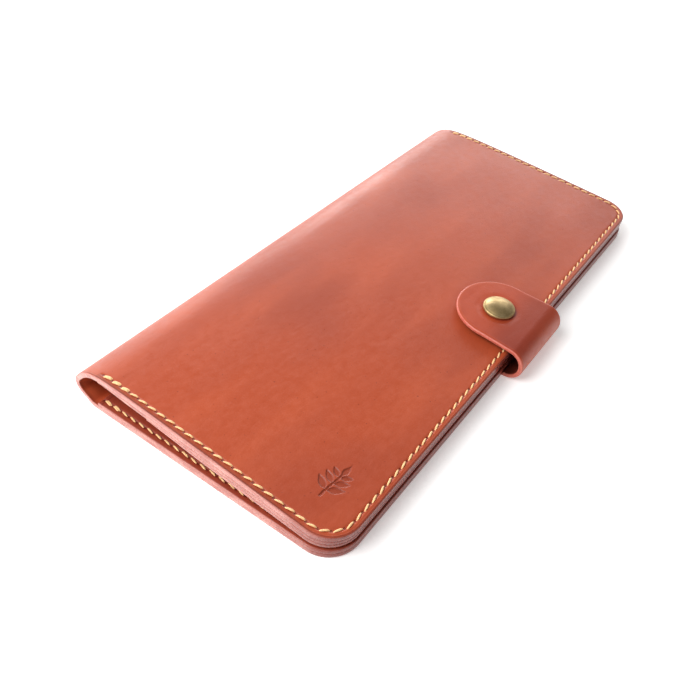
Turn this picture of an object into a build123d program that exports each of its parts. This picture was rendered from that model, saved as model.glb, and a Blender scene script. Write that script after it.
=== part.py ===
"""Long folding wallet in vegetable-tanned leather with a wrap-round snap strap.

Millimetres. The closed wallet lies on its back leaf: +X runs from the spine to the free edge and
the strap, +Y along the spine, +Z up. Profiles across the wallet are drawn as (x, z) points
measured from the fold's reference line, and the finished solids are shifted so that the origin is
the bottom centre of the whole object.
"""
from build123d import *
from math import atan, cos, sin
import os

# ---- leaves -------------------------------------------------------------------------------------
LENGTH = 200.0          # along the spine
LEAF_END = 90.1         # fold's reference line to the free edge
CORNER_R = 10.0         # outer corners on the free edge
COVER_T = 1.8           # cover leather
PANEL_T = 1.5           # inner panel leather
CREST_X = 6.5           # highest line of the closed cover
CREST_Z = 15.6
EDGE_TOP_Z = 8.6        # top of the front leaf at the free edge
BACK_START_X = 2.15     # where the flat of the back leaf begins
FRONT_START_X = 5.4     # where the flat of the front leaf begins
BACK_POCKET_X = 2.8     # mouth of the back pocket
BILL_POCKET_X = 5.6     # mouth of the front bill pocket
CARD_POCKET_X = 25.0    # mouth of the card pocket

# ---- spine loop, along the middle of the cover leather -----------------------------------------
KINK_X = 0.4            # where the cover leaves the table
BULGE = (-7.5, 6.4)     # corner of the loop's outer bulge
CREST_CORNER_X = 1.6    # corner below the crest
LOOP_RADII = (3.0, 4.0, 9.0)
SPINE_START_X = 1.85
SPINE_END_X = 3.6

# ---- seams --------------------------------------------------------------------------------------
SEAM_INSET = 2.0
FRONT_SEAM_X = 6.4      # first stitch on the front leaf
BACK_SEAM_X = 3.6       # first stitch on the back leaf
GROOVE_W = 1.0
THREAD_W = 0.8
OUTER_GROOVE = 0.5      # groove on the front cover
OUTER_THREAD = 0.7
UNDER_GROOVE = 0.6      # groove on the underside, deeper than its thread
UNDER_THREAD = 0.5
INNER_GROOVE = 0.4      # groove on the inner panels
MOUTH_GAP = 1.4         # seam thread stops this far from a pocket mouth
GROOVE_LEAD = 0.4       # groove runs this far past the first stitch
DIVIDER_END_X = 86.0

# ---- strap --------------------------------------------------------------------------------------
STRAP_T = 1.6
STRAP_Y = 3.8           # centre of the strap along the spine
STRAP_W = 29.4          # width at the root and the bend
TONGUE_W = 28.4         # width beside the snap
ROOT_T = 1.0            # skived root, let into the cover
ROOT_START_X = 62.0
ROOT_CORNER_R = 6.0
ROOT_SEAM_INSET = 2.6
ROOT_SEAM_END_X = 84.5
SNAP_GAP = 1.4          # front cover to strap, held apart by the snap
BEND_X = 96.0           # lower outer corner of the bend
BEND_TOP_X = 94.9
BEND_RADII = (4.6, 4.8)
LOWER_FOLD = (94.062, 1.589)    # folding lines of the strap, also its joint axes
UPPER_FOLD = (94.411, 9.641)
FOLD_SLIT = 1.3         # clear width left at each folding line
FOLD_LEAN = 50          # degrees that each slit leans from the vertical
TIP_CENTRE_X = 79.2
TIP_R = TONGUE_W / 2

# ---- folding lines of the spine, also its joint axes --------------------------------------------
SPINE_FOLD_LOWER = (-4.65, 0.672)
SPINE_FOLD_UPPER = (-0.771, 12.104)

# ---- snap ---------------------------------------------------------------------------------------
SNAP_X = 78.7
CAP_D = 10.8
CAP_RIM = 0.7           # height of the cap's rim
CAP_H = 2.2
POST_D = 3.0
STUD_D = 8.4
STUD_DISC = 0.4
NIPPLE_D = 3.8
NIPPLE_H = 1.1
SOCKET_D = 9.0
SOCKET_BORE = 4.8
SOCKET_FLOOR_GAP = 0.1  # socket to stud disc
SOCKET_RECESS = 0.5     # socket sunk in the strap
SOCKET_ROOF = 0.15
BASE_D = 8.0
BASE_DISC = 0.5

SLOPE = (CREST_Z - EDGE_TOP_Z) / (LEAF_END - CREST_X)
TILT = atan(SLOPE)
CUTTER_H = 30.0         # taller than the closed wallet

# The front leaf's own plane: u along the leaf from the crest, v along the spine, w out of the cover.
FRONT = Plane(origin=(CREST_X, 0, CREST_Z), x_dir=(cos(TILT), 0, -sin(TILT)), z_dir=(sin(TILT), 0, cos(TILT)))


def front_z(x):
    """Height of the front cover's outer face above the table."""
    return CREST_Z - SLOPE * (x - CREST_X)


def along_front(x):
    """Distance u along the front leaf of a point x across the wallet."""
    return (x - CREST_X) / cos(TILT)


def across(face, width, centre=0.0):
    """Extrude an (x, z) face along the spine."""
    solid = Rot(X=90) * extrude(face, width / 2, both=True)
    return Pos(0, centre, 0) * solid


def ribbon(points, radii, thickness):
    """An (x, z) strip of leather along a rounded path."""
    return trace(FilletPolyline(*points, radius=list(radii)), thickness)


def plate(start, end, width, corner_r, bottom, top):
    """A flat panel with its two corners on the free edge rounded."""
    outline = Pos((start + end) / 2, 0) * Rectangle(end - start, width)
    corners = outline.vertices().group_by(Axis.X)[-1]
    return Pos(0, 0, bottom) * extrude(fillet(corners, corner_r), top - bottom)


def seam(start, end, width, bottom, top):
    """A bead that runs in from the spine, along the free edge and back to the spine."""
    side = LENGTH - 2 * SEAM_INSET
    radius = CORNER_R - SEAM_INSET
    outer = plate(start, end + width / 2, side + width, radius + width / 2, bottom, top)
    inner = plate(start - width, end - width / 2, side - width, radius - width / 2, bottom, top)
    return outer - inner


def bar(start, end, y, width, bottom, top):
    """A straight bead across the wallet."""
    face = Pos((start + end) / 2, y) * Rectangle(end - start, width)
    return Pos(0, 0, bottom) * extrude(face, top - bottom)


def disc(x, y, diameter, bottom, top):
    return Pos(x, y, bottom) * extrude(Circle(diameter / 2), top - bottom)


# ---- back leaf ----------------------------------------------------------------------------------
def make_back_leaf():
    seam_end = LEAF_END - SEAM_INSET
    pocket_top = COVER_T + PANEL_T
    cover = plate(BACK_START_X, LEAF_END, LENGTH, CORNER_R, 0, COVER_T)
    pocket = plate(BACK_POCKET_X, LEAF_END, LENGTH, CORNER_R, COVER_T, pocket_top)
    under_groove = seam(BACK_SEAM_X - GROOVE_LEAD, seam_end, GROOVE_W, 0, UNDER_GROOVE)
    under_thread = seam(BACK_SEAM_X, seam_end, THREAD_W, UNDER_GROOVE - UNDER_THREAD, UNDER_GROOVE)
    inner_groove = seam(BACK_SEAM_X - GROOVE_LEAD, seam_end, GROOVE_W, pocket_top - INNER_GROOVE, pocket_top)
    inner_thread = seam(BACK_SEAM_X, seam_end, THREAD_W, pocket_top - INNER_GROOVE, pocket_top)
    root, root_groove, root_thread = make_strap_root()
    return {
        "cover_back_leaf": cover - under_groove - root_pocket(),
        "back_bill_pocket": pocket - inner_groove,
        "back_seam_thread": under_thread + inner_thread,
        "strap_root": root - under_groove - root_groove,
        "strap_root_thread": root_thread,
    }


# ---- spine --------------------------------------------------------------------------------------
def make_spine():
    middle = COVER_T / 2
    drop = middle / cos(TILT)
    points = ((SPINE_START_X, middle), (KINK_X, middle), BULGE,
              (CREST_CORNER_X, front_z(CREST_CORNER_X) - drop), (CREST_X, front_z(CREST_X) - drop))
    loop = ribbon(points, LOOP_RADII, COVER_T)
    past_end = Pos(SPINE_END_X + CREST_X, CREST_Z) * Rectangle(2 * CREST_X, CREST_Z)
    return {"cover_spine": across(loop - past_end, LENGTH)}


# ---- front leaf ---------------------------------------------------------------------------------
def make_front_leaf():
    end = along_front(LEAF_END)
    seam_end = end - SEAM_INSET
    seam_start = along_front(FRONT_SEAM_X)
    card_start = along_front(CARD_POCKET_X)
    bill_face = -COVER_T - PANEL_T
    card_face = bill_face - PANEL_T
    side = LENGTH / 2 - SEAM_INSET
    snap_u = along_front(SNAP_X)

    cover = plate(along_front(FRONT_START_X), end, LENGTH, CORNER_R, -COVER_T, 0)
    cover -= seam(seam_start - GROOVE_LEAD, seam_end, GROOVE_W, -OUTER_GROOVE, 0)
    cover -= disc(snap_u, STRAP_Y, BASE_D, -COVER_T, -COVER_T + BASE_DISC)
    cover -= disc(snap_u, STRAP_Y, POST_D, -COVER_T, 0)

    bill = plate(along_front(BILL_POCKET_X), end, LENGTH, CORNER_R, bill_face, -COVER_T)
    card = plate(card_start, end, LENGTH, CORNER_R, card_face, bill_face)
    for y in (-side, side):
        bill -= bar(seam_start - GROOVE_LEAD, card_start, y, GROOVE_W, bill_face, bill_face + INNER_GROOVE)
    card -= seam(card_start, seam_end, GROOVE_W, card_face, card_face + INNER_GROOVE)
    divider_start = card_start + MOUTH_GAP
    divider_end = along_front(DIVIDER_END_X)
    card -= bar(card_start, divider_end, 0, GROOVE_W, card_face, card_face + INNER_GROOVE)
    bill -= bar(card_start, divider_end, 0, GROOVE_W, -COVER_T - INNER_GROOVE, -COVER_T)

    threads = [seam(seam_start, seam_end, THREAD_W, -OUTER_GROOVE, OUTER_THREAD - OUTER_GROOVE),
               seam(divider_start, seam_end, THREAD_W, card_face, card_face + INNER_GROOVE)]
    for y in (-side, side):
        threads.append(bar(seam_start, card_start - MOUTH_GAP, y, THREAD_W, bill_face, bill_face + INNER_GROOVE))
    divider = [bar(divider_start, divider_end, 0, THREAD_W, card_face, card_face + INNER_GROOVE),
               bar(divider_start, divider_end, 0, THREAD_W, -COVER_T - INNER_GROOVE, -COVER_T)]

    stud = disc(snap_u, STRAP_Y, STUD_D, 0, STUD_DISC)
    nipple = disc(snap_u, STRAP_Y, NIPPLE_D, STUD_DISC, STUD_DISC + NIPPLE_H)
    nipple = fillet(nipple.edges().group_by(Axis.Z)[-1], NIPPLE_H / 3)
    base = disc(snap_u, STRAP_Y, BASE_D, -COVER_T, -COVER_T + BASE_DISC)
    base += disc(snap_u, STRAP_Y, POST_D, -COVER_T, 0)

    flat = {
        "cover_front_leaf": cover,
        "front_bill_pocket": bill,
        "front_card_pocket": card,
        "front_seam_thread": Part() + threads,
        "card_divider_thread": Part() + divider,
        "snap_stud": stud + nipple,
        "snap_stud_base": base,
    }
    return {name: FRONT.location * solid for name, solid in flat.items()}


# ---- strap --------------------------------------------------------------------------------------
def root_pocket():
    """The shallow recess in the cover's underside that takes the skived root."""
    outline = Pos((ROOT_START_X + LEAF_END) / 2, STRAP_Y) * Rectangle(LEAF_END - ROOT_START_X, STRAP_W)
    corners = outline.vertices().group_by(Axis.X)[0]
    return extrude(fillet(corners, ROOT_CORNER_R), ROOT_T)


def strap_strips():
    """The strap's (x, z) strip beyond the free edge, split at its two folding lines."""
    middle = SNAP_GAP + STRAP_T / 2
    lift = middle / cos(TILT)
    tip_x = TIP_CENTRE_X - TIP_R
    points = ((LEAF_END, STRAP_T / 2), (BEND_X, STRAP_T / 2), (BEND_TOP_X, front_z(BEND_TOP_X) + lift),
              (tip_x, front_z(tip_x) + lift))
    strip = ribbon(points, BEND_RADII, STRAP_T)
    slit = Rectangle(FOLD_SLIT, 3 * STRAP_T)
    strip -= Pos(*LOWER_FOLD) * Rot(Z=FOLD_LEAN) * slit
    strip -= Pos(*UPPER_FOLD) * Rot(Z=-FOLD_LEAN) * slit
    lower, bend, tongue = sorted(strip.faces(), key=lambda face: face.center().Z + face.center().Y)
    return lower, bend, tongue


def make_strap_root():
    lower = strap_strips()[0]
    root = root_pocket() + across(lower, STRAP_W, STRAP_Y)
    low_y = STRAP_Y - STRAP_W / 2 + ROOT_SEAM_INSET
    high_y = STRAP_Y + STRAP_W / 2 - ROOT_SEAM_INSET
    start = ROOT_START_X + ROOT_SEAM_INSET
    points = ((ROOT_SEAM_END_X, low_y), (start, low_y), (start, high_y), (ROOT_SEAM_END_X, high_y))
    path = FilletPolyline(*points, radius=ROOT_CORNER_R - ROOT_SEAM_INSET)
    groove = extrude(trace(path, GROOVE_W), UNDER_GROOVE)
    thread = Pos(0, 0, UNDER_GROOVE - UNDER_THREAD) * extrude(trace(path, THREAD_W), UNDER_THREAD)
    return root, groove, thread


def make_strap():
    _, bend, tongue = strap_strips()
    taper = (STRAP_W - TONGUE_W) / 2
    outline = Pos(TIP_CENTRE_X, STRAP_Y) * Circle(TIP_R)
    outline += make_face(Polyline((TIP_CENTRE_X, STRAP_Y - TIP_R), (BEND_TOP_X + STRAP_T, STRAP_Y - TIP_R - taper),
                                  (BEND_TOP_X + STRAP_T, STRAP_Y + TIP_R + taper), (TIP_CENTRE_X, STRAP_Y + TIP_R),
                                  close=True))
    tongue_solid = across(tongue, STRAP_W, STRAP_Y) & extrude(outline, CUTTER_H)

    snap_u = along_front(SNAP_X)
    socket_low = STUD_DISC + SOCKET_FLOOR_GAP
    socket_high = SNAP_GAP + SOCKET_RECESS
    cap_low = SNAP_GAP + STRAP_T
    socket = disc(snap_u, STRAP_Y, SOCKET_D, socket_low, socket_high)
    recess = FRONT.location * socket
    socket -= disc(snap_u, STRAP_Y, SOCKET_BORE, socket_low, socket_high - SOCKET_ROOF)
    cap = disc(snap_u, STRAP_Y, CAP_D, cap_low, cap_low + CAP_RIM)
    dome_r = ((CAP_D / 2) ** 2 + (CAP_H - CAP_RIM) ** 2) / (2 * (CAP_H - CAP_RIM))
    dome = Pos(snap_u, STRAP_Y, cap_low + CAP_H - dome_r) * Sphere(dome_r)
    cap += dome & disc(snap_u, STRAP_Y, CAP_D, cap_low + CAP_RIM, cap_low + 2 * CAP_H)
    post = disc(snap_u, STRAP_Y, POST_D, socket_high, cap_low)
    return {
        "strap_bend": across(bend, STRAP_W, STRAP_Y),
        "strap_tongue": tongue_solid - recess - FRONT.location * post,
        "snap_cap": FRONT.location * (cap + post),
        "snap_socket": FRONT.location * socket,
    }


# ---- assembly -----------------------------------------------------------------------------------
nodes = {}
nodes.update(make_back_leaf())
nodes.update(make_spine())
nodes.update(make_front_leaf())
nodes.update(make_strap())

low_x = nodes["cover_spine"].bounding_box().min.X
high_x = nodes["strap_bend"].bounding_box().max.X
CENTRE_X = (low_x + high_x) / 2

os.makedirs("parts", exist_ok=True)
for name, solid in nodes.items():
    export_step(Pos(-CENTRE_X, 0, 0) * solid, f"parts/{name}.step")
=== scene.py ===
"""Long leather wallet with a wrap-round snap strap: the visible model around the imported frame.

Lengths are in millimetres until placed() turns them into metres in the row frame. A sheet of
leather has two flat coordinates, a across the wallet and v along the spine, and w is the height
through its thickness.
"""

from math import atan, cos, inf, pi, radians, sin, tan

import bpy
import numpy as np
from mathutils import Matrix, Vector


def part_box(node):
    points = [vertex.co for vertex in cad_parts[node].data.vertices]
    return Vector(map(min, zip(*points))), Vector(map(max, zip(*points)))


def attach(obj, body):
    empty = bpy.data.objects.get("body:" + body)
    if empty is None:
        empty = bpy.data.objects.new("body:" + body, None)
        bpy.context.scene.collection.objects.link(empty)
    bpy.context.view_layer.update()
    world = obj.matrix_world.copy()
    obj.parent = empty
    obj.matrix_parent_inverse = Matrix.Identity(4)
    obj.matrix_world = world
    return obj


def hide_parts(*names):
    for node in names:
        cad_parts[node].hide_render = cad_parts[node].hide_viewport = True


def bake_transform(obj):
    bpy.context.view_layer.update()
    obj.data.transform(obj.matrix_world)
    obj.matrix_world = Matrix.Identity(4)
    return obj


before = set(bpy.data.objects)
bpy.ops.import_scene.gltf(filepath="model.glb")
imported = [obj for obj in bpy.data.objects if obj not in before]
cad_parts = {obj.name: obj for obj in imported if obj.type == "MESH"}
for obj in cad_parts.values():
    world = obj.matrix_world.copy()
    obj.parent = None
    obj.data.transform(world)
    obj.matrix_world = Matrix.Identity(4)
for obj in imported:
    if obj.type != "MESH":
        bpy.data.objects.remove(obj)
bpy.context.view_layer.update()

# ---- sizes shared with the CAD ----
HALF = 100.0           # of the length along the spine
LEAF_END = 90.1
CORNER_R = 10.0
COVER_T = 1.8
PANEL_T = 1.5
CREST = (6.5, 15.6)
EDGE_TOP_Z = 8.6
BACK_START_X = 2.15
FRONT_START_X = 5.4
BACK_POCKET_X = 2.8
BILL_POCKET_X = 5.6
CARD_POCKET_X = 25.0
SEAM_INSET = 2.0
FRONT_SEAM_X = 6.4
BACK_SEAM_X = 3.6
PITCH = 3.45
STRAP_T = 1.6
STRAP_Y = 3.8
STRAP_HALF = 14.7
TONGUE_HALF = 14.2
ROOT_T = 1.0
ROOT_START_X = 62.0
ROOT_CORNER_R = 6.0
ROOT_SEAM_INSET = 2.6
ROOT_SEAM_END_X = 84.5
SNAP_GAP = 1.4
SNAP_X = 78.7
TIP_CENTRE_X = 79.2
BEND = ((96.0, 4.6), (94.9, 4.8))
MARK_X, MARK_Y = 77.3, -84.2

SLOPE = (CREST[1] - EDGE_TOP_Z) / (LEAF_END - CREST[0])
TILT = atan(SLOPE)
LEAF_U = (LEAF_END - CREST[0]) / cos(TILT)
BOW = 0.8              # the front leaf's rise past the crest, which dies out at the free edge
BOW_RISE = 9.0         # how soon it rises
MM = 0.001
SHIFT_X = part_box("cover_back_leaf")[1].x / MM - LEAF_END


def along_front(x):
    return (x - CREST[0]) / cos(TILT)


def placed(x, v, z):
    """Points in metres in the row frame."""
    return np.column_stack([x + SHIFT_X, v, z]) * MM


# ---- curves ----
class Strip:
    """The middle line of a bent strip of leather, as straight runs and arcs in x and z."""

    SPARE = 6.0        # straight run past each end, for rounded edges
    EASE = 2.3         # how far a soft bend spreads into its straight runs

    def __init__(self, points, radii, soft_from=None):
        points = np.array(points, float)
        steps = np.diff(points, axis=0)
        heads = steps / np.linalg.norm(steps, axis=1)[:, None]
        points[0] -= heads[0] * self.SPARE
        points[-1] += heads[-1] * self.SPARE
        rows = [(*points[0], np.arctan2(heads[0][1], heads[0][0]))]
        for corner, radius, before, after in zip(points[1:-1], radii, heads, heads[1:]):
            turn = np.arctan2(before[0] * after[1] - before[1] * after[0], before @ after)
            side = np.sign(turn)
            start = corner - before * radius * tan(abs(turn) / 2)
            left = np.array([-before[1], before[0]]) * side
            centre = start + left * radius
            head = rows[-1][2]
            for part in np.linspace(0, 1, 60):
                c, s = cos(turn * part), sin(turn * part)
                arm = -left * radius
                rows.append((centre[0] + c * arm[0] - s * arm[1],
                             centre[1] + s * arm[0] + c * arm[1], head + turn * part))
        rows.append((*points[-1], rows[-1][2]))
        self.x, self.z, self.head = np.array(rows).T
        gone = np.hypot(np.diff(self.x), np.diff(self.z))
        self.s = np.concatenate([[0], np.cumsum(gone)]) - self.SPARE
        self.length = self.s[-1] - self.SPARE
        if soft_from is not None:
            self.soften(soft_from)

    def soften(self, start):
        """Spreads the bends after the distance start, as thick leather does."""
        step = 0.05
        s = np.arange(self.s[0], self.s[-1] + step / 2, step)
        reach = int(4 * self.EASE / step)
        weights = np.exp(-0.5 * (np.arange(-reach, reach + 1) * step / self.EASE) ** 2)
        share = smooth(s, start - 2, start + 4) * smooth(s, s[-1] - 1, s[-1] - 12)
        line = []
        for values in (self.x, self.z):
            values = np.interp(s, self.s, values)
            ends = (2 * values[0] - values[reach:0:-1], 2 * values[-1] - values[-2:-reach - 2:-1])
            soft = np.convolve(np.concatenate([ends[0], values, ends[1]]),
                               weights / weights.sum(), "valid")
            line.append(values + (soft - values) * share)
        self.s, (self.x, self.z) = s, line
        self.head = np.unwrap(np.arctan2(np.gradient(self.z), np.gradient(self.x)))

    def at(self, s, w):
        """The point at distance s along the line and w to its left."""
        head = np.interp(s, self.s, self.head)
        return (np.interp(s, self.s, self.x) - w * np.sin(head),
                np.interp(s, self.s, self.z) + w * np.cos(head))

    def place(self, s, v, w):
        x, z = self.at(s, w)
        return placed(x, v, z)

    def nearest(self, x, z):
        s = np.linspace(0, self.length, 4000)
        px, pz = self.at(s, 0)
        return s[np.argmin(np.hypot(px - x, pz - z))]


class Seam:
    """A U of saddle stitches: in along -v, round the free end and back along +v."""

    def __init__(self, start, end, half, radius):
        self.start, self.end, self.half, self.radius = start, end, half, radius
        self.run = end - radius - start
        self.turn = radius * pi / 2
        self.length = 2 * (self.run + self.turn + half - radius)
        self.count = round(self.length / PITCH)
        self.pitch = self.length / self.count

    def at(self, d):
        """a, v and the direction (in a and v) at distance d."""
        far = d > self.length / 2
        e = np.where(far, self.length - d, d)
        bend = np.clip((e - self.run) / self.radius, 0, pi / 2)
        a = self.start + np.minimum(e, self.run) + self.radius * np.sin(bend)
        v = -self.half + self.radius * (1 - np.cos(bend)) + np.maximum(e - self.run - self.turn, 0)
        return a, np.where(far, -v, v), np.where(far, -np.cos(bend), np.cos(bend)), np.sin(bend)

    def measure(self, a, v):
        """Stitches from the start, and millimetres inward of the seam, 9 away from it."""
        m = -np.abs(v)
        da, dm = a - (self.end - self.radius), self.radius - self.half - m
        corner = (da > 0) & (dm > 0)
        side, edge = m + self.half, self.end - a
        off = np.where(corner, self.radius - np.hypot(da, dm), np.minimum(side, edge))
        along = np.where(side < edge, a - self.start,
                         self.run + self.turn + m + self.half - self.radius)
        along = np.where(corner, self.run + self.radius * np.arctan2(da, dm), along)
        away = (np.abs(off) > 4) | (along < -PITCH / 2)
        along = np.where(v > 0, self.length - along, along) / self.pitch
        return np.where(away, 0.5, along), np.where(away, 9.0, off)

    def holes(self):
        """The a of each hole on a side, and the v of each hole on the free edge."""
        a, v, ta, _ = self.at(np.arange(self.count + 1) * self.pitch)
        return a[ta > 0.999], v[np.abs(ta) < 0.001]


# ---- meshes ----
SHARP_ANGLE = radians(55)
GRID_GAP, FINE_GAP = 0.1, 0.04      # between grid lines, and in the first millimetre
END_GAP = 0.08                      # before the last line
RIM_STEPS = 8                       # across a rounded edge
EDGE_ROUNDNESS = (0.67, 0.25)
EDGE_STEPS = np.array([0.6, 0.75, 0.9, 1.05, 1.25, 1.5, 1.7, 1.85, 2.0, 2.15, 2.3, 2.5, 2.8, 3.2,
                       3.8, 4.6, 5.6, 7, 8.6])


def smooth(value, low, high):
    t = np.clip((value - low) / (high - low), 0, 1)
    return t * t * (3 - 2 * t)


def six_volumes(points, faces):
    """Six times the volume inside closed faces, negative where they are inside out."""
    points = points - points[0]
    return sum(np.sum(points[f[:, 0]] * np.cross(points[f[:, i]], points[f[:, i + 1]]))
               for f in faces for i in range(1, f.shape[1] - 1))


def new_object(name, data):
    made = bpy.data.objects.new(name, data)
    bpy.context.scene.collection.objects.link(made)
    return made


def new_piece(name, nodes, slot, body, points, faces, fields):
    """A closed mesh that stands for CAD nodes and rides on a body, if it is given one.

    faces holds arrays of corners, one array for each number of sides.
    """
    faces = [np.atleast_2d(np.asarray(f, np.int32)) for f in faces]
    if six_volumes(points, faces) < 0:
        faces = [f[:, ::-1] for f in faces]
    corners = np.concatenate([f.ravel() for f in faces])
    sizes = np.concatenate([np.full(len(f), f.shape[1]) for f in faces])
    mesh = bpy.data.meshes.new(name)
    mesh.vertices.add(len(points))
    mesh.vertices.foreach_set("co", points.astype(np.float32).ravel())
    mesh.loops.add(len(corners))
    mesh.loops.foreach_set("vertex_index", corners)
    mesh.polygons.add(len(sizes))
    mesh.polygons.foreach_set("loop_start", np.concatenate([[0], np.cumsum(sizes)[:-1]]))
    mesh.polygons.foreach_set("use_smooth", np.ones(len(sizes), bool))
    mesh.update(calc_edges=True)
    for key, values in fields.items():
        kind, member = ("FLOAT_VECTOR", "vector") if values.ndim == 2 else ("FLOAT", "value")
        layer = mesh.attributes.new(key, kind, "POINT")
        layer.data.foreach_set(member, values.astype(np.float32).ravel())
    mesh.set_sharp_from_angle(angle=SHARP_ANGLE)
    mesh.materials.append(LOOKS[slot])
    piece = new_object(name, mesh)
    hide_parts(*nodes)
    if body:
        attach(piece, body)
    return piece


def grid_quads(index):
    return np.column_stack([index[:-1, :-1].ravel(), index[1:, :-1].ravel(),
                            index[1:, 1:].ravel(), index[:-1, 1:].ravel()])


def joined_lines(low, high, *groups):
    """Sorted grid lines from low to high, none too near another."""
    inside = np.concatenate([np.atleast_1d(g) for g in groups])
    inside = np.sort(inside[(inside > low + FINE_GAP) & (inside < high - FINE_GAP)])
    kept = [low]
    for line in inside:
        if line - kept[-1] >= (FINE_GAP if line < low + 1 else GRID_GAP):
            kept.append(line)
    while high - kept[-1] < END_GAP:
        kept.pop()
    return np.array(kept + [high])


def round_holes(holes):
    return np.concatenate([holes - 0.3, holes, holes + 0.3, holes + PITCH / 2])


def leather(name, nodes, slot, place, a_lines, v_lines, coarse, corner_r, rim, outer, inner, dent,
            fields, body=None, centre=0.0, roundness=EDGE_ROUNDNESS):
    """A closed sheet of leather with rounded edges and two rounded corners at its far end.

    Without a body, its near end is a flat cut that meets the next piece. outer and inner are the
    heights of its faces, numbers or functions of a, and dent is how deep the outer one is pressed.
    coarse is (a lines, v lines) kept on the inner face, fewer where that lies hidden. roundness is
    that of the edge towards the outer and the inner face, from 0, square, to 1.
    """
    mouth = body is not None
    na, nv = len(a_lines), len(v_lines)
    end, half = a_lines[-1], v_lines[-1]
    radius = corner_r - rim
    a, v = (g.copy() for g in np.meshgrid(a_lines, v_lines, indexing="ij"))
    da = (a - (end - radius)) / radius
    dv = (np.abs(v) - (half - radius)) / radius
    corner = (da > 0) & (dv > 0)
    ca, cv = np.clip(da, 0, 1), np.clip(dv, 0, 1)
    round_a, round_v = ca * np.sqrt(1 - cv ** 2 / 2), cv * np.sqrt(1 - ca ** 2 / 2)
    a = np.where(corner, end - radius + radius * round_a, a)
    v = np.where(corner, np.sign(v) * (half - radius + radius * round_v), v)

    outer_w, inner_w = (face(a) if callable(face) else np.full(a.shape, float(face))
                        for face in (outer, inner))
    outer_w = outer_w - np.sign(np.mean(outer_w - inner_w)) * dent(a, v)
    index = np.arange(na * nv).reshape(na, nv)
    keep_a, keep_v = (
        np.unique([0, len(lines) - 1] + [np.argmin(np.abs(lines - line)) for line in kept])
        for lines, kept in zip((a_lines, v_lines), coarse))
    used = np.zeros((na, nv), bool)
    used[np.ix_(keep_a, keep_v)] = True
    used[[0, -1], :] = True
    used[:, [0, -1]] = True
    under = np.full((na, nv), -1)
    under[used] = na * nv + np.arange(used.sum())
    faces = [grid_quads(index)]
    # one face for each kept cell, with every point of the fine grid along the outline
    for i0, i1 in zip(keep_a, keep_a[1:]):
        for j0, j1 in zip(keep_v, keep_v[1:]):
            ring = [(i0, j) for j in range(j0, j1)] + [(i, j1) for i in range(i0, i1)]
            ring += [(i1, j) for j in range(j1, j0, -1)] + [(i, j0) for i in range(i1, i0, -1)]
            faces.append([[under[at] for at in ring if used[at]]])

    # the edge all round, or on three sides where the near end is a cut
    walk = [(i, 0) for i in range(na)] + [(na - 1, j) for j in range(1, nv)]
    walk += [(i, nv - 1) for i in range(na - 2, -1, -1)]
    if mouth:
        walk += [(0, j) for j in range(nv - 2, 0, -1)]
    i, j = np.array(walk).T
    out_a = (i == na - 1).astype(float) - ((i == 0) & mouth)
    out_v = (j == nv - 1).astype(float) - (j == 0)
    out_a = np.where(corner[i, j], round_a[i, j], out_a)
    out_v = np.where(corner[i, j], round_v[i, j] * np.sign(v[i, j]), out_v)
    spots = [np.column_stack([a.ravel(), v.ravel(), outer_w.ravel()]),
             np.column_stack([a[used], v[used], inner_w[used]])]
    total = na * nv + used.sum()
    on_rim, rings = [np.zeros(total)], [index[i, j]]
    inside = [np.zeros(na * nv), np.ones(used.sum())]
    high, low = outer_w[i, j], inner_w[i, j]
    for step in range(1, RIM_STEPS):
        bend = pi * (0.5 - step / RIM_STEPS)
        power = roundness[0] if bend > 0 else roundness[1]
        reach = rim * abs(cos(bend)) ** power
        lift = np.sign(bend) * abs(sin(bend)) ** power
        spots.append(np.column_stack([a[i, j] + out_a * reach, v[i, j] + out_v * reach,
                                      (high + low) / 2 + lift * (high - low) / 2]))
        on_rim.append(np.full(len(i), reach / rim))
        inside.append(np.full(len(i), step / RIM_STEPS))
        rings.append(total + np.arange(len(i)))
        total += len(i)
    rings.append(under[i, j])
    for upper, lower in zip(rings, rings[1:]):
        band = np.column_stack([upper, lower, np.roll(lower, -1), np.roll(upper, -1)])
        faces.append(band if mouth else band[:-1])
    if not mouth:
        faces.append(np.column_stack([index[0, :-1], index[0, 1:], under[0, 1:], under[0, :-1]]))
        faces.append([[ring[0] for ring in rings[::-1]]])
        faces.append([[ring[-1] for ring in rings]])
    spots = np.concatenate(spots)
    spots[:, 1] += centre
    made = fields(spots[:, 0], spots[:, 1], np.concatenate(on_rim))
    # painted shade only on the inner face
    made["inside_shade"] = made["inside_shade"] * np.concatenate(inside)
    return new_piece(name, nodes, slot, body, place(*spots.T), faces, made)


def hide_fields(a, v, rim, along, off, tone, edge_shade=0.0, inside_shade=0.0):
    """What the leather material reads at each point.

    skin is the place on the hide, seam the stitches from a seam's start and the distance off it,
    tone how much lighter or darker it is, with painted light and shade in some places, and the two
    fields after it how much painted shade darkens the free edges' rims and the strap's inside.
    """
    flat = 0 * a
    return {"skin": np.column_stack([a, v, rim]), "rim": rim, "tone": tone + flat,
            "seam": np.column_stack([along + flat, off + flat, flat]),
            "edge_shade": edge_shade + flat, "inside_shade": inside_shade + flat}


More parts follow.
